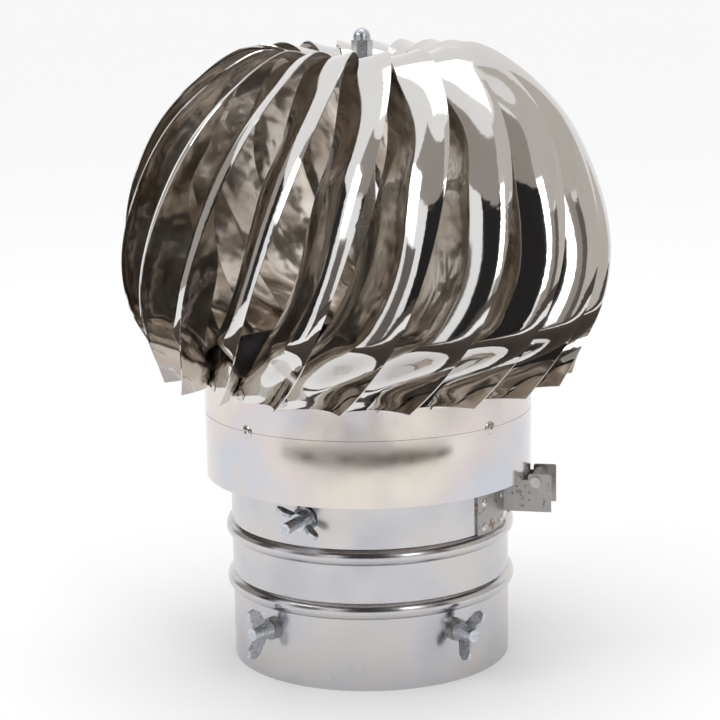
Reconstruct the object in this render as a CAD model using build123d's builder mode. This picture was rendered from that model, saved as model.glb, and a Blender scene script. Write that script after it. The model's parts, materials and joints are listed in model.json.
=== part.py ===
from build123d import *

import os
from math import atan2, cos, exp, radians, sin, sqrt

# Roof turbine ventilator for a 200 mm round duct.
#
# A beaded base pipe is clamped on the duct by four wing screws. A tilting head stands on the
# pipe's rim and swings aside on a hinge, so that the duct can be swept. The head carries the
# spindle, and a rotor of twenty leaning blades with a rain skirt turns on it.
#
# Millimetres, +Z up. The origin is on the duct axis at the pipe's lower edge. An azimuth is in
# degrees from the front (-Y) towards +X, and a hinge part is laid out by its reach (distance
# from the duct axis), its side step along the pin and its height.

os.makedirs("parts", exist_ok=True)

# ---- Duct and base pipe ----
duct_radius = 100.0
socket_clearance = 0.6
sheet = 0.8
pipe_inner = duct_radius + socket_clearance
pipe_outer = pipe_inner + sheet
pipe_height = 146.0
bead_rise = 4.1
bead_half_width = 6.0
bead_heights = (58.0, 97.0)

# ---- Clamp screws and clasp nuts, M8 ----
thread_radius = 4.0
turning_clearance = 0.05
screw_azimuths = (-44.0, 36.0, 136.0, 216.0)
screw_height = 38.0
screw_lean = (88.0, 64.0, 88.0, 64.0)
boss_radius = 8.0
boss_height = 3.8
hub_gap = 0.3
screw_hub_radius = 7.0
screw_tip_radius = 4.5
screw_hub_length = 16.0
wing_span = 37.0
wing_sheet = 2.8
screw_wing_height = 19.0

# ---- Hinge ----
hinge_azimuth = 78.0
pin_reach = 125.0
pin_height = 133.4
pin_radius = 3.0
pin_head_radius = 3.9
pin_head = 1.0
knuckle_wall = 1.6
leaf_sheet = 2.0
leaf_half_width = 13.4
leaf_gap = 1.1
ear_gap = 0.6
ear_sheet = 2.0
ear_bottom = 111.5
ear_outer = 11.0
ear_above_pin = 5.6
ear_before_pin = 5.4
ear_corner = 1.4
foot_sheet = 1.6
foot_bottom = 101.7
foot_top = 134.6
foot_start = 47.5
bracket_rivet_radius = 1.6
bracket_rivet_head = 3.2
bracket_rivet_azimuths = (52.0, 67.0)
bracket_rivet_heights = (107.0, 125.0)

# ---- Collar, clasp bolts and spider ----
collar_gap = 3.4
collar_depth = 34.0
rim_gap = 0.3
rim_width = 7.0
clasp_azimuths = (-26.5, 153.5)
clasp_height = 123.0
clasp_slot_width = 11.0
clasp_reach = 131.0
clasp_play = 1.0
bolt_head = 5.3
across_flats = 13.0
washer_radius = 9.0
washer_sheet = 1.2
nut_hub_radius = 7.0
nut_hub_length = 8.5
nut_wing_height = 11.8
clasp_wing_lean = -31.0
spider_azimuths = (33.0, 123.0, 213.0, 303.0)
spider_boss_radius = 14.0
spider_boss_bottom = 116.0
spider_boss_top = 150.0
arm_sheet = 3.0
arm_bottom = 122.0
arm_height = 18.0
tab_half_angle = 8.0
tab_sheet = 1.6
tab_margin = 2.0
tab_rivet_angle = 5.0

# ---- Spindle and bearings (12 x 28 x 8) ----
spindle_radius = 8.0
journal_radius = 6.0
spindle_nut_flats = 19.0
spindle_nut_height = 9.0
thread_end = 4.0
bearing_radius = 14.0
bearing_width = 8.0
race = 2.0
shield_gap = 0.3
shield_sheet = 0.6
lower_bearing = 407.0
bearing_spacing = 3.0
cup_wall = 3.0
cup_lip = 3.0
cup_end_gap = 1.5
ring_sheet = 1.2

# ---- Rotor top ----
hub_seat = 428.9
hub_radius = 40.0
hub_sheet = 1.5
washer_top_radius = 30.0
washer_top_sheet = 1.4
plain_nut_height = 6.5
acorn_hex_height = 6.4
acorn_height = 15.0
acorn_dome_radius = 6.1

# ---- Skirt ----
skirt_outer = 118.8
skirt_bottom = 136.9
seam_height = 184.0
seam_gap = 0.3
blade_ring_top = 222.0
joint_strip_half = 8.0
skirt_rivet_azimuths = (-45.0, 45.0, 135.0, 225.0)
rivet_radius = 2.4
rivet_head_radius = 4.75
rivet_head = 1.5
mandrel_share = 0.45  # bore left in a rivet's head, against its shank
hollow_floor_share = 0.3

# ---- Blades ----
blade_count = 20
blade_sheet = 0.8
blade_seat_gap = 0.5
crown_radius = 175.0
crown_height = 298.0
crest_radius = 72.0
crest_height = 443.0
foot_corner_radius = 148.0
foot_corner_height = 208.0
foot_droop = 4.3
foot_sweep = -25.3
steady_sweep = 34.5
foot_curl_sweep = 10.0
foot_curl_reach = 0.108
strip_width = 15.6
foot_width = 26.0
crest_width = 20.5
tip_width = 16.8
tip_inner_radius = 24.0
shoulder_drop = 30.0
tip_play_below = 0.35
tip_play_above = 0.75
crest_drop = 9.0
strip_curl = 1.7
foot_flat_share = 0.4
foot_rivet_share = 0.85
blade_columns = 5
blade_stations = (0, 0.012, 0.025, 0.04, 0.06, 0.085, 0.115, 0.15, 0.19, 0.24, 0.3, 0.37, 0.44, 0.51, 0.58, 0.65, 0.72, 0.78, 0.83, 0.87, 0.9, 0.93, 0.945, 0.96, 0.98, 1)
foot_rivet_height = 210.0


# ---- Shared geometry ----
def polar(azimuth, radius, height):
    """A point at an azimuth, a radius and a height."""
    turn = radians(azimuth)
    return Vector(radius * sin(turn), -radius * cos(turn), height)


def facing_out(azimuth, radius, height):
    """A plane that looks away from the duct axis."""
    turn = radians(azimuth)
    normal = (sin(turn), -cos(turn), 0)
    return Plane(origin=polar(azimuth, radius, height), x_dir=(cos(turn), sin(turn), 0), z_dir=normal)


def facing_in(azimuth, radius, height):
    """A plane that looks at the duct axis."""
    turn = radians(azimuth)
    normal = (-sin(turn), cos(turn), 0)
    return Plane(origin=polar(azimuth, radius, height), x_dir=(-cos(turn), -sin(turn), 0), z_dir=normal)


def upright(azimuth, side=0.0):
    """The plane of radius (local x) and height (local y) at an azimuth, moved sideways."""
    turn = radians(azimuth)
    origin = (side * cos(turn), side * sin(turn), 0)
    return Plane(origin=origin, x_dir=(sin(turn), -cos(turn), 0), z_dir=(-cos(turn), -sin(turn), 0))


def hinge_plane(side):
    """The plane of reach (local x) and height (local y), at a step along the hinge pin."""
    return upright(hinge_azimuth, side)


def save(piece, name):
    """Label a finished piece and write it as its own node."""
    piece.label = name
    export_step(piece, f"parts/{name}.step")


def ring(inner, outer, bottom, top):
    """A plain round ring about the duct axis."""
    with BuildPart() as made:
        with BuildSketch(Plane.XY.offset(bottom)):
            Circle(outer)
            Circle(inner, mode=Mode.SUBTRACT)
        extrude(amount=top - bottom)
    return made.part


def blind_rivet(shank_radius, head_radius, head_height, grip):
    """A blind rivet with its hollow head on local z = 0 and its shank down through the grip."""
    hollow = shank_radius * mandrel_share
    hollow_floor = head_height * hollow_floor_share
    arc_centre = (head_height**2 - (head_radius - hollow) ** 2) / (2 * head_height)
    arc_radius = head_height - arc_centre
    middle = (radians(90) + atan2(-arc_centre, head_radius - hollow)) / 2
    with BuildPart() as rivet:
        with BuildSketch(Plane.XZ):
            with BuildLine():
                Polyline(
                    (hollow, head_height),
                    (hollow, hollow_floor),
                    (0, hollow_floor),
                    (0, -grip),
                    (shank_radius, -grip),
                    (shank_radius, 0),
                    (head_radius, 0),
                )
                ThreePointArc(
                    (head_radius, 0),
                    (hollow + arc_radius * cos(middle), arc_centre + arc_radius * sin(middle)),
                    (hollow, head_height),
                )
            make_face()
        revolve(axis=Axis.Z)
    return rivet.part


def wing_points(inner_width, height, hub_length):
    """Corners of one wing's outline, outwards along local x and up along local y."""
    reach = wing_span / 2
    return [
        (0, hub_length * 0.15),
        (inner_width, hub_length * 0.15),
        (reach * 0.86, height * 0.5),
        (reach, height * 0.76),
        (reach * 0.9, height),
        (reach * 0.62, height),
        (inner_width, hub_length * 0.85),
        (0, hub_length * 0.85),
    ]


# ---- Base pipe ----
with BuildPart() as base_pipe:
    with BuildSketch(Plane.XZ):
        with BuildLine():
            low = 0
            for bead in bead_heights:
                Line((pipe_outer, low), (pipe_outer, bead - bead_half_width))
                ThreePointArc(
                    (pipe_outer, bead - bead_half_width),
                    (pipe_outer + bead_rise, bead),
                    (pipe_outer, bead + bead_half_width),
                )
                low = bead + bead_half_width
            Line((pipe_outer, low), (pipe_outer, pipe_height))
            Line((pipe_outer, pipe_height), (pipe_inner, pipe_height))
            high = pipe_height
            groove = bead_half_width - sheet
            for bead in reversed(bead_heights):
                Line((pipe_inner, high), (pipe_inner, bead + groove))
                ThreePointArc(
                    (pipe_inner, bead + groove),
                    (pipe_inner + bead_rise, bead),
                    (pipe_inner, bead - groove),
                )
                high = bead - groove
            Line((pipe_inner, high), (pipe_inner, 0))
            Line((pipe_inner, 0), (pipe_outer, 0))
        make_face()
    revolve(axis=Axis.Z)
    for azimuth in screw_azimuths:
        with BuildSketch(facing_out(azimuth, duct_radius, screw_height)):
            Circle(thread_radius + turning_clearance)
        extrude(amount=2 * sheet + socket_clearance, mode=Mode.SUBTRACT)
    for azimuth in clasp_azimuths:
        with BuildSketch(facing_out(azimuth, duct_radius - sheet, clasp_height)):
            Circle(clasp_slot_width / 2)
            with Locations((0, (pipe_height - clasp_height + sheet) / 2)):
                Rectangle(clasp_slot_width, pipe_height - clasp_height + sheet)
        extrude(amount=4 * sheet, mode=Mode.SUBTRACT)
    for azimuth in bracket_rivet_azimuths:
        for height in bracket_rivet_heights:
            for spot in (azimuth, 2 * hinge_azimuth - azimuth):
                with BuildSketch(facing_out(spot, duct_radius, height)):
                    Circle(bracket_rivet_radius)
                extrude(amount=2 * sheet + socket_clearance, mode=Mode.SUBTRACT)
save(base_pipe.part, "base_pipe")

# ---- Clamp bosses, welded round nuts ----
boss_face = pipe_outer + boss_height
with BuildPart() as clamp_bosses:
    for azimuth in screw_azimuths:
        with BuildSketch(facing_out(azimuth, duct_radius, screw_height)):
            Circle(boss_radius)
            Circle(thread_radius + turning_clearance, mode=Mode.SUBTRACT)
        extrude(amount=boss_face - duct_radius)
    Cylinder(pipe_outer, 2 * pipe_height, mode=Mode.SUBTRACT)
save(clamp_bosses.part, "clamp_bosses")

# ---- Wing screws ----
screw_length = boss_face + hub_gap - pipe_inner - sheet / 4
with BuildPart() as wing_screw:
    with BuildSketch(Plane.XY.offset(-screw_length)):
        Circle(thread_radius)
    extrude(amount=screw_length + 1)
    with BuildSketch(Plane.XY):
        Circle(screw_hub_radius)
    with BuildSketch(Plane.XY.offset(screw_hub_length)):
        Circle(screw_tip_radius)
    loft()
    with BuildSketch(Plane.XZ.offset(-wing_sheet / 2)) as wing_outline:
        with BuildLine():
            Polyline(*wing_points(screw_tip_radius, screw_wing_height, screw_hub_length), close=True)
        make_face()
        mirror(about=Plane.YZ)
    extrude(amount=wing_sheet)
for number, azimuth in enumerate(screw_azimuths):
    leaning = wing_screw.part.rotate(Axis.Z, screw_lean[number])
    seat = facing_out(azimuth, boss_face + hub_gap, screw_height)
    save(leaning.moved(seat.location), f"wing_screw_{number + 1}")

# ---- Hinge brackets: a curved foot on the pipe and an ear that holds the pin ----
ear_inside = leaf_half_width + ear_gap
ear_azimuth = hinge_azimuth - 9.0
with BuildPart() as bracket_near:
    with BuildSketch(upright(foot_start)):
        with Locations((pipe_outer + foot_sheet / 2, (foot_bottom + foot_top) / 2)):
            Rectangle(foot_sheet, foot_top - foot_bottom)
    revolve(axis=Axis.Z, revolution_arc=ear_azimuth - foot_start)
    with BuildSketch(hinge_plane(-ear_inside)):
        with BuildLine():
            Polyline(
                (duct_radius, ear_bottom),
                (pin_reach + ear_outer, ear_bottom),
                (pin_reach + ear_outer, pin_height + ear_above_pin),
                (pin_reach - ear_before_pin, pin_height + ear_above_pin),
                (pin_reach - ear_before_pin, foot_top),
                (duct_radius, foot_top),
                close=True,
            )
        make_face()
        fillet(vertices().group_by(Axis.Y)[-1], ear_corner)
    extrude(amount=ear_sheet)
    Cylinder(pipe_outer, 2 * pipe_height, mode=Mode.SUBTRACT)
    with BuildSketch(hinge_plane(-ear_inside)):
        with Locations((pin_reach, pin_height)):
            Circle(pin_radius)
    extrude(amount=ear_sheet, mode=Mode.SUBTRACT)
    for azimuth in bracket_rivet_azimuths:
        for height in bracket_rivet_heights:
            with BuildSketch(facing_out(azimuth, duct_radius, height)):
                Circle(bracket_rivet_radius)
            extrude(amount=4 * foot_sheet, mode=Mode.SUBTRACT)
save(bracket_near.part, "hinge_bracket_near")
save(mirror(bracket_near.part, about=hinge_plane(0)), "hinge_bracket_far")

bracket_rivet = blind_rivet(bracket_rivet_radius, bracket_rivet_head, sheet, foot_sheet + 2 * sheet)
with BuildPart() as bracket_rivets:
    for azimuth in bracket_rivet_azimuths:
        for height in bracket_rivet_heights:
            for spot in (azimuth, 2 * hinge_azimuth - azimuth):
                seat = facing_out(spot, pipe_outer + foot_sheet, height)
                add(bracket_rivet.moved(seat.location))
save(bracket_rivets.part, "bracket_rivets")

ear_outside = ear_inside + ear_sheet
with BuildPart() as hinge_pin:
    with BuildSketch(hinge_plane(-ear_outside)):
        with Locations((pin_reach, pin_height)):
            Circle(pin_radius)
    extrude(amount=-2 * ear_outside)
    with BuildSketch(hinge_plane(-ear_outside), hinge_plane(ear_outside + pin_head)):
        with Locations((pin_reach, pin_height)):
            Circle(pin_head_radius)
    extrude(amount=pin_head)
save(hinge_pin.part, "hinge_pin")

# ---- Collar that stands on the rim and reaches down inside the pipe ----
collar_outer = pipe_inner - collar_gap
collar_inner = collar_outer - sheet
collar_top = pipe_height + rim_gap + sheet
flange_radius = collar_inner + rim_width + sheet
bolt_seat = sqrt(collar_inner**2 - (across_flats / sqrt(3)) ** 2)
leaf_rivet_reach = (collar_inner + flange_radius) / 2
leaf_rivet_side = leaf_half_width - rivet_head_radius - 1
leaf_rivet_places = [(leaf_rivet_reach, side) for side in (-leaf_rivet_side, leaf_rivet_side)]
collar_plane = Plane.XY.offset(collar_top).rotated((0, 0, hinge_azimuth - 90))
with BuildPart() as collar:
    with BuildSketch(Plane.XZ):
        with BuildLine():
            Polyline(
                (collar_inner, collar_top - collar_depth),
                (collar_outer, collar_top - collar_depth),
                (collar_outer, collar_top - sheet),
                (flange_radius, collar_top - sheet),
                (flange_radius, collar_top),
                (collar_inner, collar_top),
                close=True,
            )
        make_face()
    revolve(axis=Axis.Z)
    for azimuth in clasp_azimuths:
        with BuildSketch(facing_out(azimuth, collar_inner - sheet, clasp_height)):
            Circle(thread_radius)
        extrude(amount=4 * sheet, mode=Mode.SUBTRACT)
    for azimuth in spider_azimuths:
        for step in (-tab_rivet_angle, tab_rivet_angle):
            with BuildSketch(facing_out(azimuth + step, collar_inner - sheet, arm_bottom + arm_height / 2)):
                Circle(rivet_radius)
            extrude(amount=4 * sheet, mode=Mode.SUBTRACT)
    with BuildSketch(collar_plane):
        with Locations(*leaf_rivet_places):
            Circle(rivet_radius)
    extrude(amount=-sheet, mode=Mode.SUBTRACT)
save(collar.part, "collar")

# ---- Hinge leaf: out of the knuckle, under the skirt and over the pipe's rim ----
knuckle_outer = pin_radius + turning_clearance + knuckle_wall
leaf_reach = flange_radius + leaf_gap
leaf_low = pin_height - knuckle_outer
leaf_end = collar_inner - leaf_sheet
with BuildPart() as hinge_leaf:
    with BuildSketch(hinge_plane(leaf_half_width)):
        with BuildLine():
            Polyline(
                (leaf_end, collar_top),
                (leaf_reach, collar_top),
                (leaf_reach, leaf_low),
                (pin_reach, leaf_low),
                (pin_reach, leaf_low + leaf_sheet),
                (leaf_reach + leaf_sheet, leaf_low + leaf_sheet),
                (leaf_reach + leaf_sheet, collar_top + leaf_sheet),
                (leaf_end, collar_top + leaf_sheet),
                close=True,
            )
        make_face()
        outside_bends = [(leaf_reach, leaf_low), (leaf_reach + leaf_sheet, collar_top + leaf_sheet)]
        fillet([vertices().sort_by_distance(bend)[0] for bend in outside_bends], leaf_sheet)
        with Locations((pin_reach, pin_height)):
            Circle(knuckle_outer)
            Circle(pin_radius + turning_clearance, mode=Mode.SUBTRACT)
    extrude(amount=2 * leaf_half_width)
    with BuildSketch(collar_plane):
        with Locations(*leaf_rivet_places):
            Circle(rivet_radius)
    extrude(amount=leaf_sheet, mode=Mode.SUBTRACT)
save(hinge_leaf.part, "hinge_leaf")

leaf_rivet = blind_rivet(rivet_radius, rivet_head_radius, rivet_head, leaf_sheet + sheet)
with BuildPart() as leaf_rivets:
    with Locations(collar_plane.offset(leaf_sheet)):
        with Locations(*leaf_rivet_places):
            add(leaf_rivet)
save(leaf_rivets.part, "leaf_rivets")

# ---- Spider: a boss on four arms, each ending in a tab on the collar's wall ----
tab_face = collar_inner - tab_sheet
with BuildPart() as spider:
    with BuildSketch(Plane.XY.offset(spider_boss_bottom)):
        Circle(spider_boss_radius)
    extrude(amount=spider_boss_top - spider_boss_bottom)
    for azimuth in spider_azimuths:
        with BuildSketch(facing_out(azimuth, journal_radius, arm_bottom + arm_height / 2)):
            Rectangle(arm_sheet, arm_height)
        extrude(amount=tab_face + tab_sheet / 2 - journal_radius)
        with BuildSketch(upright(azimuth - tab_half_angle)):
            with Locations((tab_face + tab_sheet / 2, arm_bottom + arm_height / 2)):
                Rectangle(tab_sheet, arm_height + tab_margin)
        revolve(axis=Axis.Z, revolution_arc=2 * tab_half_angle)
        for step in (-tab_rivet_angle, tab_rivet_angle):
            with BuildSketch(facing_out(azimuth + step, tab_face - tab_sheet, arm_bottom + arm_height / 2)):
                Circle(rivet_radius)
            extrude(amount=4 * tab_sheet, mode=Mode.SUBTRACT)
    with BuildSketch(Plane.XY.offset(spider_boss_bottom)):
        Circle(journal_radius)
    extrude(amount=spider_boss_top - spider_boss_bottom, mode=Mode.SUBTRACT)
save(spider.part, "spider")

tab_rivet_seat = sqrt(tab_face**2 - rivet_head_radius**2)
tab_rivet = blind_rivet(rivet_radius, rivet_head_radius, rivet_head, collar_outer - tab_rivet_seat)
with BuildPart() as spider_rivets:
    for azimuth in spider_azimuths:
        for step in (-tab_rivet_angle, tab_rivet_angle):
            add(tab_rivet.moved(facing_in(azimuth + step, tab_rivet_seat, arm_bottom + arm_height / 2).location))
save(spider_rivets.part, "spider_rivets")

# ---- Clasp bolts, washers and wing nuts ----
with BuildPart() as clasp_bolts:
    for azimuth in clasp_azimuths:
        with BuildSketch(facing_out(azimuth, bolt_seat, clasp_height)):
            RegularPolygon(across_flats / 2, 6, major_radius=False)
        extrude(amount=-bolt_head)
        with BuildSketch(facing_out(azimuth, bolt_seat - bolt_head, clasp_height)):
            Circle(thread_radius)
        extrude(amount=clasp_reach - bolt_seat + bolt_head)
save(clasp_bolts.part, "clasp_bolts")

washer_seat = pipe_outer + clasp_play
with BuildPart() as clasp_washers:
    for azimuth in clasp_azimuths:
        with BuildSketch(facing_out(azimuth, washer_seat, clasp_height)):
            Circle(washer_radius)
            Circle(thread_radius + turning_clearance, mode=Mode.SUBTRACT)
        extrude(amount=washer_sheet)
save(clasp_washers.part, "clasp_washers")

with BuildPart() as wing_nut:
    with BuildSketch(Plane.XY):
        Circle(nut_hub_radius)
    with BuildSketch(Plane.XY.offset(nut_hub_length)):
        Circle(nut_hub_radius - 1)
    loft()
    with BuildSketch(Plane.XZ.offset(-wing_sheet / 2)):
        with BuildLine():
            Polyline(*wing_points(nut_hub_radius - 1, nut_wing_height, nut_hub_length), close=True)
        make_face()
        mirror(about=Plane.YZ)
    extrude(amount=wing_sheet)
    with BuildSketch(Plane.XY):
        Circle(thread_radius + turning_clearance)
    extrude(amount=nut_hub_length, mode=Mode.SUBTRACT)
for number, azimuth in enumerate(clasp_azimuths):
    nut_seat = washer_seat + washer_sheet + turning_clearance
    leaning = wing_nut.part.rotate(Axis.Z, clasp_wing_lean)
    seat = facing_out(azimuth, nut_seat, clasp_height)
    save(leaning.moved(seat.location), f"wing_nut_{number + 1}")

# ---- Spindle with its nut, and two sealed bearings ----
upper_bearing = lower_bearing + bearing_width + bearing_spacing
spindle_top = upper_bearing + bearing_width
spindle_bottom = spider_boss_bottom - spindle_nut_height - thread_end
with BuildPart() as spindle:
    with BuildSketch(Plane.XZ):
        with BuildLine():
            Polyline(
                (0, spindle_bottom),
                (journal_radius, spindle_bottom),
                (journal_radius, spider_boss_top),
                (spindle_radius, spider_boss_top),
                (spindle_radius, lower_bearing),
                (journal_radius, lower_bearing),
                (journal_radius, spindle_top),
                (0, spindle_top),
                close=True,
            )
        make_face()
    revolve(axis=Axis.Z)
save(spindle.part, "spindle")

with BuildPart() as spindle_nut:
    with BuildSketch(Plane.XY.offset(spider_boss_bottom - spindle_nut_height)):
        RegularPolygon(spindle_nut_flats / 2, 6, major_radius=False)
        Circle(journal_radius, mode=Mode.SUBTRACT)
    extrude(amount=spindle_nut_height)
save(spindle_nut.part, "spindle_nut")

inner_race = journal_radius + race
outer_race = bearing_radius - race
for name, bottom in (("lower", lower_bearing), ("upper", upper_bearing)):
    top = bottom + bearing_width
    save(ring(journal_radius, inner_race, bottom, top), f"bearing_inner_{name}")
    with BuildPart() as bearing_outer:
        with BuildSketch(Plane.XZ):
            with BuildLine():
                Polyline(
                    (inner_race + shield_gap, bottom),
                    (bearing_radius, bottom),
                    (bearing_radius, top),
                    (inner_race + shield_gap, top),
                    (inner_race + shield_gap, top - shield_sheet),
                    (outer_race, top - shield_sheet),
                    (outer_race, bottom + shield_sheet),
                    (inner_race + shield_gap, bottom + shield_sheet),
                    close=True,
                )
            make_face()
        revolve(axis=Axis.Z)
    save(bearing_outer.part, f"bearing_outer_{name}")
save(ring(journal_radius, inner_race, lower_bearing + bearing_width, upper_bearing), "spacer_inner")
save(ring(outer_race, bearing_radius, lower_bearing + bearing_width, upper_bearing), "spacer_outer")

# ---- Bearing cup with the stud that carries the blades ----
tip_bottom = hub_seat + hub_sheet
tip_top = tip_bottom + tip_play_below + blade_sheet + tip_play_above
nut_seat_height = tip_top + washer_top_sheet
acorn_seat = nut_seat_height + plain_nut_height
stud_top = acorn_seat + acorn_height / 2
cup_outer = bearing_radius + cup_wall
cup_bottom = lower_bearing - cup_lip
with BuildPart() as bearing_cup:
    with BuildSketch(Plane.XZ):
        with BuildLine():
            Polyline(
                (bearing_radius, cup_bottom),
                (cup_outer, cup_bottom),
                (cup_outer, hub_seat),
                (thread_radius, hub_seat),
                (thread_radius, stud_top),
                (0, stud_top),
                (0, spindle_top + cup_end_gap),
                (outer_race, spindle_top + cup_end_gap),
                (outer_race, spindle_top),
                (bearing_radius, spindle_top),
                close=True,
            )
        make_face()
    revolve(axis=Axis.Z)
    fillet(edges().filter_by(GeomType.CIRCLE).group_by(Axis.Z)[0].sort_by(SortBy.RADIUS)[-1], cup_wall / 2)
save(bearing_cup.part, "bearing_cup")
save(ring(outer_race, bearing_radius, lower_bearing - ring_sheet, lower_bearing), "retaining_ring")

# ---- Hub plate, clamp washer and the two nuts ----
save(ring(thread_radius, hub_radius, hub_seat, tip_bottom), "hub_plate")
save(ring(thread_radius, washer_top_radius, tip_top, nut_seat_height), "clamp_washer")
with BuildPart() as plain_nut:
    with BuildSketch(Plane.XY.offset(nut_seat_height)):
        RegularPolygon(across_flats / 2, 6, major_radius=False)
        Circle(thread_radius, mode=Mode.SUBTRACT)
    extrude(amount=plain_nut_height)
save(plain_nut.part, "plain_nut")

acorn_top = acorn_seat + acorn_height
with BuildPart() as acorn_nut:
    with BuildSketch(Plane.XY.offset(acorn_seat)):
        RegularPolygon(across_flats / 2, 6, major_radius=False)
    extrude(amount=acorn_hex_height)
    with BuildSketch(Plane.XZ):
        with BuildLine():
            Polyline(
                (0, acorn_top),
                (0, acorn_seat + acorn_hex_height),
                (acorn_dome_radius, acorn_seat + acorn_hex_height),
                (acorn_dome_radius, acorn_top - acorn_dome_radius),
            )
            RadiusArc((acorn_dome_radius, acorn_top - acorn_dome_radius), (0, acorn_top), -acorn_dome_radius)
        make_face()
    revolve(axis=Axis.Z)
    with BuildSketch(Plane.XY.offset(acorn_seat)):
        Circle(thread_radius)
    extrude(amount=stud_top - acorn_seat, mode=Mode.SUBTRACT)
save(acorn_nut.part, "acorn_nut")

# ---- Blade form ----
blade_pitch = 360 / blade_count
foot_seat = skirt_outer + blade_seat_gap + blade_sheet / 2
tip_height = tip_bottom + tip_play_below + blade_sheet / 2
meridian = Edge.make_spline(
    [
        (foot_corner_radius, 0, foot_corner_height),
        (crown_radius * 0.905, 0, crown_height - 65),
        (crown_radius * 0.965, 0, crown_height - 40),
        (crown_radius, 0, crown_height),
        (crown_radius * 0.943, 0, crown_height + 52),
        (crown_radius * 0.817, 0, crown_height + 97),
        (crown_radius * 0.634, 0, crown_height + 129),
        (crest_radius, 0, crest_height),
        (hub_radius + 4, 0, tip_height + 1.5),
        (hub_radius - 4, 0, tip_height),
        (tip_inner_radius, 0, tip_height),
    ]
)


def ease(start, end, share):
    """Zero before start, one after end, and smooth between."""
    step = min(max((share - start) / (end - start), 0), 1)
    return step * step * (3 - 2 * step)


def blade_point(along, across):
    """A point of the blade's middle surface, along from foot to tip, across from outer to inner edge."""
    edge_point = meridian @ along
    edge_way = meridian % along
    rise = ease(0.04, 0.16, along)
    shoulder = ease(0.25, 0.6, along)
    crest = ease(0.56, 0.84, along)
    tip = ease(0.82, 0.92, along)
    lower_drop = edge_point.X - foot_seat
    upper_drop = (shoulder_drop * (1 - crest) + crest_drop * crest) * (1 - tip)
    drop = lower_drop * (1 - shoulder) + upper_drop * shoulder
    hooked = 1 - (1 - min(across / (1 - foot_flat_share), 1)) ** 3
    curled = across ** (strip_curl * (1 - crest) + crest)
    inward = drop * (hooked * (1 - rise) + curled * rise)
    lean = ease(0.2, 0.45, along)
    radius = edge_point.X - inward * (1 - lean + lean * edge_way.Z)
    height = edge_point.Z + inward * lean * edge_way.X - foot_droop * across * (1 - rise)
    height += (tip_height - height) * ease(0.895, 0.925, along)
    sweep = foot_sweep + steady_sweep * along + foot_curl_sweep * (1 - exp(-along / foot_curl_reach))
    width = foot_width + (strip_width - foot_width) * ease(0, 0.3, along)
    width += (crest_width - strip_width) * crest - (crest_width - tip_width) * tip
    return polar(sweep - width * across, radius, height)


def blade_section(along):
    """The closed outline across the blade's sheet, at a share of its length."""
    step = 0.001
    outer_points = []
    inner_points = []
    for column in range(blade_columns + 1):
        across = column / blade_columns
        middle = blade_point(along, across)
        along_way = blade_point(min(along + step, 1), across) - blade_point(max(along - step, 0), across)
        across_way = blade_point(along, min(across + step, 1)) - blade_point(along, max(across - step, 0))
        normal = along_way.cross(across_way).normalized() * (blade_sheet / 2)
        outer_points.append(middle - normal)
        inner_points.append(middle + normal)
    inner_points.reverse()
    return Wire(
        [
            Edge.make_spline(outer_points),
            Edge.make_line(outer_points[-1], inner_points[0]),
            Edge.make_spline(inner_points),
            Edge.make_line(inner_points[-1], outer_points[0]),
        ]
    )


# ---- Skirt band, blade ring and the strip behind their joint ----
skirt_inner = skirt_outer - sheet
ring_bottom = seam_height + seam_gap / 2
band_top = seam_height - seam_gap / 2
foot_rivet_seat = foot_seat + blade_sheet / 2 + blade_seat_gap / 2
foot_rivet_azimuth = foot_sweep - foot_width * foot_rivet_share
foot_rivet_azimuths = [foot_rivet_azimuth + number * blade_pitch for number in range(blade_count)]
skirt_heights = {"skirt_band": (skirt_bottom, band_top), "blade_ring": (ring_bottom, blade_ring_top)}
skirt_heights["joint_strip"] = (seam_height - joint_strip_half, seam_height + joint_strip_half)
for name, (bottom, top) in skirt_heights.items():
    outer = skirt_inner if name == "joint_strip" else skirt_outer
    with BuildPart() as skirt_piece:
        add(ring(outer - sheet, outer, bottom, top))
        for azimuth in skirt_rivet_azimuths:
            with BuildSketch(facing_out(azimuth, skirt_inner - 2 * sheet, seam_height)):
                Circle(rivet_radius)
            extrude(amount=4 * sheet, mode=Mode.SUBTRACT)
        if name == "blade_ring":
            for azimuth in foot_rivet_azimuths:
                with BuildSketch(facing_out(azimuth, skirt_inner - sheet, foot_rivet_height)):
                    Circle(rivet_radius)
                extrude(amount=3 * sheet, mode=Mode.SUBTRACT)
    save(skirt_piece.part, name)

skirt_rivet = blind_rivet(rivet_radius, rivet_head_radius, rivet_head, 2 * sheet)
with BuildPart() as skirt_rivets:
    for azimuth in skirt_rivet_azimuths:
        add(skirt_rivet.moved(facing_out(azimuth, skirt_outer, seam_height).location))
save(skirt_rivets.part, "skirt_rivets")

foot_rivet = blind_rivet(rivet_radius, rivet_head_radius, rivet_head, foot_rivet_seat - skirt_inner)
with BuildPart() as foot_rivets:
    for azimuth in foot_rivet_azimuths:
        add(foot_rivet.moved(facing_out(azimuth, foot_rivet_seat, foot_rivet_height).location))
save(foot_rivets.part, "foot_rivets")

# ---- Blades ----
sections = [blade_section(along) for along in blade_stations]
blade_skin = Solid.make_loft(sections).faces()
blade_form = Solid(Shell([*blade_skin, Face.make_surface(sections[0]), Face.make_surface(sections[-1])]))
with BuildPart() as blade:
    add(blade_form)
    with BuildSketch(facing_out(foot_rivet_azimuth, skirt_outer - sheet, foot_rivet_height)):
        Circle(rivet_radius)
    extrude(amount=3 * sheet, mode=Mode.SUBTRACT)
for number in range(blade_count):
    save(blade.part.rotate(Axis.Z, number * blade_pitch), f"blade_{number + 1:02d}")
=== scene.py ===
"""Roof turbine ventilator: finishes, studio and camera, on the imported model."""

import json
from math import cos, radians, sin, sqrt

import bpy
from mathutils import Matrix, Vector


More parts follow.
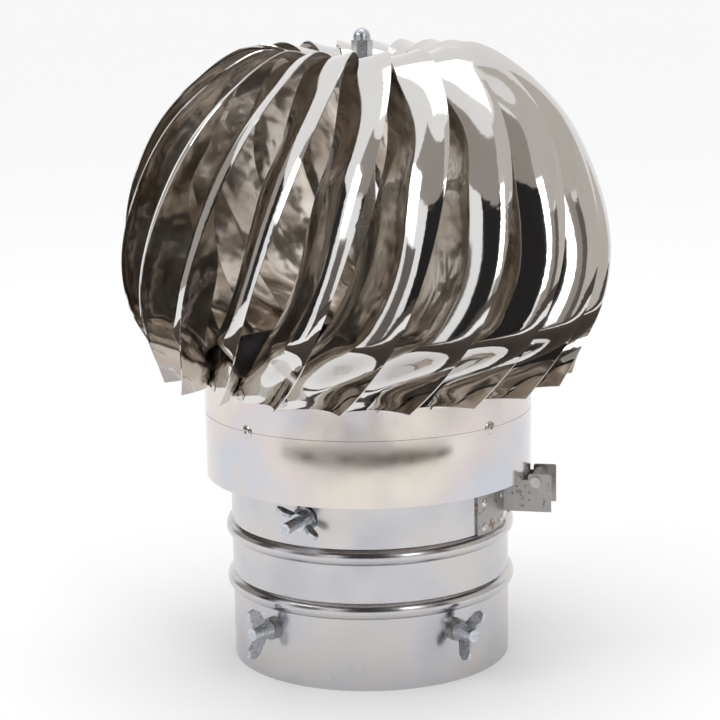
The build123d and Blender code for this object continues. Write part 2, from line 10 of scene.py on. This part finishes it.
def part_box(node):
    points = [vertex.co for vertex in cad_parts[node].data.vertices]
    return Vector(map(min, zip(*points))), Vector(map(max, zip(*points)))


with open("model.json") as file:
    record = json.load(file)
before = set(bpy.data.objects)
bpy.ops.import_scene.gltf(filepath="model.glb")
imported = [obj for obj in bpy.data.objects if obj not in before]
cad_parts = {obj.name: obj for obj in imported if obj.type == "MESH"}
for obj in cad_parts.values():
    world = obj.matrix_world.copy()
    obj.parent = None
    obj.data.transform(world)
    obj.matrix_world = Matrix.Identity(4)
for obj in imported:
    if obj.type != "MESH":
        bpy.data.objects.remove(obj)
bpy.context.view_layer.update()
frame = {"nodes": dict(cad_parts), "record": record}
nodes = frame["nodes"]

# ---- Places taken from the frame ----
skirt_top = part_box("skirt_band")[1].z
rotor_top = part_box("acorn_nut")[1].z
rotor_middle = Vector((0, 0, (skirt_top + rotor_top) / 2))

# ---- Camera ----
camera_place = Vector((0, -1.5211, 0.5267))
camera_pitch = radians(11.535)
camera_yaw = radians(-0.200)
camera_roll = radians(-1.008)
camera_lens = 106.78
sensor_width = 36.0

# ---- Colours ----
mirror_steel = (0.66, 0.65, 0.64)
mirror_bright = (0.74, 0.73, 0.72)
mirror_grey = (0.62, 0.60, 0.58)
film_and_painted_light_greige = (0.76, 0.71, 0.64)
smudge_and_painted_reflection_brown = (0.40, 0.31, 0.23)
rolled_cream = (0.70, 0.655, 0.58)
rolled_pink = (0.64, 0.58, 0.57)
rolled_blue = (0.55, 0.57, 0.62)
pipe_lilac = (0.50, 0.495, 0.53)
pipe_warm = (0.60, 0.57, 0.55)
pipe_grey = (0.56, 0.55, 0.57)
dull_steel = (0.42, 0.41, 0.40)
dull_dark = (0.36, 0.35, 0.34)
dull_pale = (0.52, 0.51, 0.50)
rust_brown = (0.20, 0.12, 0.07)
zinc = (0.66, 0.69, 0.72)
zinc_dark = (0.47, 0.50, 0.54)
satin_steel = (0.68, 0.66, 0.63)
satin_pale = (0.72, 0.70, 0.68)
satin_brown = (0.45, 0.41, 0.36)
ground_steel = (0.52, 0.51, 0.50)
ground_pale = (0.58, 0.57, 0.56)
ground_brown = (0.40, 0.38, 0.35)
pale_floor = (0.93, 0.93, 0.93)
cloth_black = (0.010, 0.009, 0.009)
floor_and_painted_shade_brown = (0.055, 0.040, 0.032)
wall_greige = (0.36, 0.33, 0.30)
wall_pale = (0.62, 0.59, 0.55)
wall_shade = (0.14, 0.12, 0.11)

# ---- Studio sizes, metres and watts ----
floor_width = 160.0
floor_roughness = 0.8
card_roughness = 0.9
card_steps = 24
lens_steps = 32
wall_distance = 2.8
table_edge = 1.15
lamp_aim = Vector((0, 0, 0.25))
lamp_power = 6


class Shader:
    """A node material with short calls for the nodes used here."""

    def __init__(self, name, colour, roughness, metallic=1.0):
        self.material = bpy.data.materials.new(name)
        self.material.use_nodes = True
        self.tree = self.material.node_tree
        self.surface = self.tree.nodes["Principled BSDF"]
        self.surface.inputs["Base Color"].default_value = (*colour, 1)
        self.surface.inputs["Roughness"].default_value = roughness
        self.surface.inputs["Metallic"].default_value = metallic
        self.place = self.node("ShaderNodeTexCoord").outputs["Object"]

    def node(self, kind, **settings):
        made = self.tree.nodes.new(kind)
        for key, value in settings.items():
            setattr(made, key, value)
        return made

    def link(self, output, target):
        self.tree.links.new(output, target)

    def stretched(self, scale):
        """Object coordinates, scaled apart along the three axes."""
        mapping = self.node("ShaderNodeMapping")
        mapping.inputs["Scale"].default_value = scale
        self.link(self.place, mapping.inputs["Vector"])
        return mapping.outputs["Vector"]

    def round_the_axis(self, turns, rise):
        """Coordinates that run round the duct axis and up it, for rolled sheet."""
        parts = self.node("ShaderNodeSeparateXYZ")
        self.link(self.place, parts.inputs[0])
        angle = self.math("ARCTAN2", parts.outputs["Y"], parts.outputs["X"])
        joined = self.node("ShaderNodeCombineXYZ")
        self.link(self.math("MULTIPLY", angle, turns), joined.inputs["X"])
        self.link(self.math("MULTIPLY", parts.outputs["Z"], rise), joined.inputs["Y"])
        return joined.outputs[0]

    def math(self, operation, first, second):
        made = self.node("ShaderNodeMath", operation=operation)
        for socket, value in zip(made.inputs, (first, second)):
            if isinstance(value, (int, float)):
                socket.default_value = value
            else:
                self.link(value, socket)
        return made.outputs[0]

    def noise(self, scale, detail=4.0, vector=None, distortion=0.0, offset=0.0):
        made = self.node("ShaderNodeTexNoise", noise_dimensions="4D")
        made.inputs["Scale"].default_value = scale
        made.inputs["Detail"].default_value = detail
        made.inputs["Distortion"].default_value = distortion
        made.inputs["W"].default_value = offset
        self.link(self.place if vector is None else vector, made.inputs["Vector"])
        return made.outputs["Fac"]

    def ramp(self, factor, *stops):
        made = self.node("ShaderNodeValToRGB")
        elements = made.color_ramp.elements
        while len(elements) < len(stops):
            elements.new(0.5)
        for element, (position, colour) in zip(elements, stops):
            element.position = position
            element.color = (*colour, 1)
        self.link(factor, made.inputs["Fac"])
        return made.outputs["Color"]

    def between(self, factor, low, high, start=0.3, end=0.7):
        """A factor spread over a range of values."""
        made = self.node("ShaderNodeMapRange", clamp=True)
        made.inputs["From Min"].default_value = start
        made.inputs["From Max"].default_value = end
        made.inputs["To Min"].default_value = low
        made.inputs["To Max"].default_value = high
        self.link(factor, made.inputs["Value"])
        return made.outputs["Result"]

    def mix(self, factor, first, second):
        made = self.node("ShaderNodeMix", data_type="RGBA")
        sockets = (made.inputs[0], made.inputs[6], made.inputs[7])
        for socket, value in zip(sockets, (factor, first, second)):
            if isinstance(value, tuple):
                socket.default_value = (*value, 1)
            elif isinstance(value, (int, float)):
                socket.default_value = value
            else:
                self.link(value, socket)
        return made.outputs[2]

    def colour(self, output):
        self.link(output, self.surface.inputs["Base Color"])

    def roughness(self, output):
        self.link(output, self.surface.inputs["Roughness"])

    def bump(self, height, strength, distance, before=None):
        made = self.node("ShaderNodeBump")
        made.inputs["Strength"].default_value = strength
        made.inputs["Distance"].default_value = distance
        self.link(height, made.inputs["Height"])
        if before is not None:
            self.link(before, made.inputs["Normal"])
        self.link(made.outputs["Normal"], self.surface.inputs["Normal"])
        return made.outputs["Normal"]


def facing_outwards(shader):
    """One on faces that look away from the rotor's middle, zero on inner faces."""
    local = shader.node("ShaderNodeTexCoord")
    away = shader.node("ShaderNodeVectorMath", operation="SUBTRACT")
    away.inputs[1].default_value = rotor_middle
    shader.link(local.outputs["Object"], away.inputs[0])
    dot = shader.node("ShaderNodeVectorMath", operation="DOT_PRODUCT")
    shader.link(away.outputs[0], dot.inputs[0])
    shader.link(local.outputs["Normal"], dot.inputs[1])
    return shader.between(dot.outputs["Value"], 0, 1, 0.0, 0.004)


def blade_finish():
    """Bright annealed stainless: a mirror outside, faintly hammered inside; the inner faces' greige
    and brown blotches are partly smudges and partly painted reflection that lightens them.
    """
    shader = Shader("blade_mirror", mirror_steel, 0.08)
    outside = facing_outwards(shader)
    smudge_and_reflection_blotches = shader.noise(14, 6, distortion=0.6)
    # Inner faces: greige and brown blotches, partly smudges and partly painted reflection and light
    # that keep the inner faces from going dark.
    inner = shader.ramp(smudge_and_reflection_blotches, (0.40, film_and_painted_light_greige), (0.68, smudge_and_painted_reflection_brown))
    outer = shader.ramp(shader.noise(5, 3), (0.35, mirror_bright), (0.7, mirror_grey))
    shader.colour(shader.mix(outside, inner, outer))
    hazy = shader.between(smudge_and_reflection_blotches, 0.10, 0.30)
    clear = shader.between(shader.noise(22, 5, offset=3), 0.035, 0.11)
    shader.roughness(shader.mix(outside, hazy, clear))
    filmed = shader.between(smudge_and_reflection_blotches, 0.82, 1.0, 0.35, 0.6)
    film = shader.math("MAXIMUM", filmed, outside)
    shader.link(film, shader.surface.inputs["Metallic"])
    waves = shader.bump(shader.noise(12, 1, shader.stretched((1, 1, 0.12)), offset=1), 0.06, 0.003)
    inside = shader.math("SUBTRACT", 1, outside)
    hammered = shader.math("MULTIPLY", shader.noise(28, 2, offset=6), inside)
    shader.bump(hammered, 0.8, 0.006, waves)
    return shader.material


def rolled_finish(name, warm, cool, tint, roughness, grain):
    """Cold-rolled sheet wrapped round the axis, with handling marks and temper colours."""
    shader = Shader(name, warm, roughness)
    patches = shader.noise(1.0, 2, shader.round_the_axis(2.0, 16), 0.2)
    shader.colour(shader.ramp(patches, (0.34, cool), (0.5, tint), (0.66, warm)))
    rubbed = shader.noise(30, 5, offset=4)
    shader.roughness(shader.between(rubbed, roughness - 0.05, roughness + 0.09))
    lines = shader.noise(1.0, 3, shader.round_the_axis(*grain))
    rolled = shader.bump(lines, 0.06, 0.0005)
    shader.bump(shader.noise(5, 1, offset=5), 0.08, 0.003, rolled)
    return shader.material


def bracket_finish():
    """Dull mill-finish steel with brown spots and scratches."""
    shader = Shader("bracket_dull", dull_steel, 0.42)
    spots = shader.noise(190, 4, distortion=0.8)
    clouds = shader.noise(45, 5, offset=2)
    plain = shader.ramp(clouds, (0.35, dull_dark), (0.7, dull_pale))
    shader.colour(shader.mix(shader.between(spots, 0, 0.8, 0.57, 0.66), plain, rust_brown))
    shader.roughness(shader.between(clouds, 0.34, 0.55))
    shader.bump(shader.noise(500, 3, shader.stretched((1, 1, 0.12))), 0.25, 0.0003)
    return shader.material


def zinc_finish():
    """Zinc plate: bluish, with a fine crystal mottle."""
    shader = Shader("zinc_plate", zinc, 0.28)
    cells = shader.node("ShaderNodeTexVoronoi")
    cells.inputs["Scale"].default_value = 900
    shader.link(shader.place, cells.inputs["Vector"])
    shader.colour(shader.mix(shader.between(cells.outputs["Color"], 0, 1, 0.2, 0.8), zinc, zinc_dark))
    shader.roughness(shader.between(shader.noise(250, 3), 0.2, 0.42))
    shader.bump(shader.noise(1200, 2), 0.15, 0.0002)
    return shader.material


def rivet_finish():
    """Satin steel rivets, mottled at random from pale to brown."""
    shader = Shader("rivet_satin", satin_steel, 0.24)
    shader.colour(shader.ramp(shader.noise(400, 3), (0.3, satin_pale), (0.75, satin_brown)))
    shader.bump(shader.noise(900, 2), 0.1, 0.0002)
    return shader.material


def ground_finish():
    """Ground shaft and bearing steel."""
    shader = Shader("ground_steel", ground_steel, 0.25)
    shader.colour(shader.ramp(shader.noise(60, 4), (0.3, ground_pale), (0.75, ground_brown)))
    shader.roughness(shader.between(shader.noise(90, 3, offset=1), 0.18, 0.36))
    shader.bump(shader.noise(1.0, 2, shader.round_the_axis(2, 1500)), 0.08, 0.0003)
    return shader.material


def dress(material, *names):
    """Give CAD nodes their finish."""
    for name in names:
        slots = nodes[name].material_slots
        if not slots:
            nodes[name].data.materials.append(material)
        for slot in slots:
            slot.material = material


skirt_steel = rolled_finish("skirt_rolled", rolled_cream, rolled_blue, rolled_pink, 0.11, (260, 6))
pipe_steel = rolled_finish("pipe_rolled", pipe_warm, pipe_lilac, pipe_grey, 0.2, (3, 420))
finish_of = {
    "blade_steel": blade_finish(),
    "skirt_steel": skirt_steel,
    "pipe_steel": pipe_steel,
    "bracket_steel": bracket_finish(),
    "zinc_fasteners": zinc_finish(),
    "rivet_metal": rivet_finish(),
    "bearing_steel": ground_finish(),
}
for subpart in frame["record"]["subparts"]:
    dress(finish_of[subpart["material_slot"]], subpart["node"])


# ---- Studio ----
def stage_mesh(name, points, faces, material):
    """A mesh that belongs to the studio and not to the object."""
    mesh = bpy.data.meshes.new(name)
    mesh.from_pydata(points, [], faces)
    mesh.materials.append(material)
    card = bpy.data.objects.new(name, mesh)
    bpy.context.scene.collection.objects.link(card)
    return card


def flat_card(name, centre, facing, width, height, material):
    """A flat sheet whose face looks at a point."""
    turn = (Vector(facing) - Vector(centre)).to_track_quat("Z", "Y").to_matrix().to_4x4()
    turn.translation = Vector(centre)
    signs = ((-1, -1), (1, -1), (1, 1), (-1, 1))
    corners = [turn @ Vector((across * width / 2, along * height / 2, 0)) for across, along in signs]
    return stage_mesh(name, corners, [(0, 1, 2, 3)], material)


def softbox(name, place, size, watts, height_share=1.0):
    """A soft lamp aimed at the object."""
    light = bpy.data.lights.new(name, "AREA")
    light.shape = "RECTANGLE"
    light.size = size
    light.size_y = size * height_share
    light.energy = watts
    lamp = bpy.data.objects.new(name, light)
    lamp.location = place
    lamp.rotation_mode = "QUATERNION"
    lamp.rotation_quaternion = (Vector(place) - lamp_aim).to_track_quat("Z", "Y")
    bpy.context.scene.collection.objects.link(lamp)


def round_about(azimuth, distance, height):
    """A place round the object, azimuth 0 in front and 90 on the right."""
    turn = radians(azimuth)
    return (distance * sin(turn), -distance * cos(turn), height)


def reflected_strip(name, points, paint):
    """A strip through pairs of points, which the metal sees and the camera doesn't."""
    faces = [(low, low + 1, low + 3, low + 2) for low in range(0, len(points) - 2, 2)]
    card = stage_mesh(name, points, faces, paint)
    card.visible_camera = False
    card.visible_shadow = False
    card.visible_diffuse = False


def curved_card(name, start, end, inner, outer, paint):
    """A strip round the object between two azimuths, from one (distance, height) to another."""
    points = []
    for step in range(card_steps + 1):
        azimuth = start + (end - start) * step / card_steps
        points.append(round_about(azimuth, *inner))
        points.append(round_about(azimuth, *outer))
    reflected_strip(name, points, paint)


def lens_card(name, start, end, near, far, height, paint):
    """A level dark patch between two azimuths that narrows to a point at both ends."""
    middle = (near + far) / 2
    points = []
    for step in range(lens_steps + 1):
        share = step / lens_steps
        half = (far - near) / 2 * sqrt(1 - (2 * share - 1) ** 2)
        azimuth = start + (end - start) * share
        points.append(round_about(azimuth, middle - half, height))
        points.append(round_about(azimuth, middle + half, height))
    reflected_strip(name, points, paint)


def card_paint(name, colour):
    """A matt paint for a card."""
    return Shader(name, colour, card_roughness, metallic=0.0).material


def wall_card(name, start, end, top, paint):
    """A wall round the object between two azimuths, from the floor up."""
    curved_card(name, start, end, (wall_distance, 0), (wall_distance, top), paint)


def make_studio():
    """The floor, the surroundings that the mirror finish shows, two dark cards that paint shade and a
    dark reflection into the metal, the lamps and the world.
    """
    floor_paint = Shader("floor_paint", pale_floor, floor_roughness, metallic=0.0)
    flat_card("floor", (0, 0, 0), (0, 0, 1), floor_width, floor_width, floor_paint.material)
    black = card_paint("black_cloth", cloth_black)
    # This brown paints the dark floor ring, and also the cards that paint shade under the rotor and a
    # dark reflection on the skirt.
    brown = card_paint("dark_floor", floor_and_painted_shade_brown)
    greige = card_paint("room_wall", wall_greige)
    pale = card_paint("pale_wall", wall_pale)
    shade = card_paint("shaded_wall", wall_shade)
    curved_card("dark_floor", -62, 130, (table_edge, 0.003), (wall_distance, 0.003), brown)
    wall_card("wall_front", -22, 24, 2.4, black)
    wall_card("wall_near_right", 30, 50, 2.0, greige)
    wall_card("wall_right", 50, 62, 1.8, shade)
    wall_card("wall_far_right", 62, 122, 1.9, pale)
    wall_card("wall_left", -64, -40, 1.5, shade)
    wall_card("wall_far_left", -98, -80, 2.0, black)
    wall_card("wall_back_left", -135, -98, 2.0, greige)
    curved_card("ceiling_front", -70, 24, (wall_distance, 2.4), (1.3, 2.8), greige)
    curved_card("ceiling_right", 24, 125, (wall_distance, 1.9), (1.0, 2.8), pale)
    # A dark patch near the base that only the metal sees: a painted dark reflection on the skirt.
    lens_card("painted_reflection_strip", -54, 50, 0.294, 0.358, 0.12, brown)
    # A dark ring round the rotor at the blades' feet, which only the metal sees: painted shade that
    # darkens the lower blades.
    curved_card("painted_shade_under_rotor", -180, 180, (0.170, 0.208), (0.30, 0.208), brown)
    softbox("key_left", round_about(-60, 1.9, 1.6), 0.8, lamp_power)
    softbox("key_right", round_about(32, 2.0, 1.1), 0.45, lamp_power, 3.0)
    softbox("top", (0, 0.2, 2.4), 1.2, lamp_power)
    world = bpy.data.worlds.new("studio")
    world.use_nodes = True
    sky = world.node_tree.nodes["Background"]
    sky.inputs["Color"].default_value = (1, 1, 1, 1)
    sky.inputs["Strength"].default_value = 1.0
    bpy.context.scene.world = world
    bpy.context.scene.view_settings.view_transform = "Standard"


def make_camera():
    """The photograph's own view: place, direction, tilt of the horizon and lens."""
    forward = Vector(
        (sin(camera_yaw) * cos(camera_pitch), cos(camera_yaw) * cos(camera_pitch), -sin(camera_pitch))
    )
    level = Vector((cos(camera_yaw), -sin(camera_yaw), 0))
    upright = level.cross(forward)
    right = cos(camera_roll) * level + sin(camera_roll) * upright
    above = cos(camera_roll) * upright - sin(camera_roll) * level
    data = bpy.data.cameras.new("camera")
    data.lens = camera_lens
    data.sensor_width = sensor_width
    data.sensor_fit = "HORIZONTAL"
    camera = bpy.data.objects.new("camera", data)
    turn = Matrix((right, above, -forward)).transposed().to_4x4()
    turn.translation = camera_place
    camera.matrix_world = turn
    bpy.context.scene.collection.objects.link(camera)
    bpy.context.scene.camera = camera


make_studio()
make_camera()
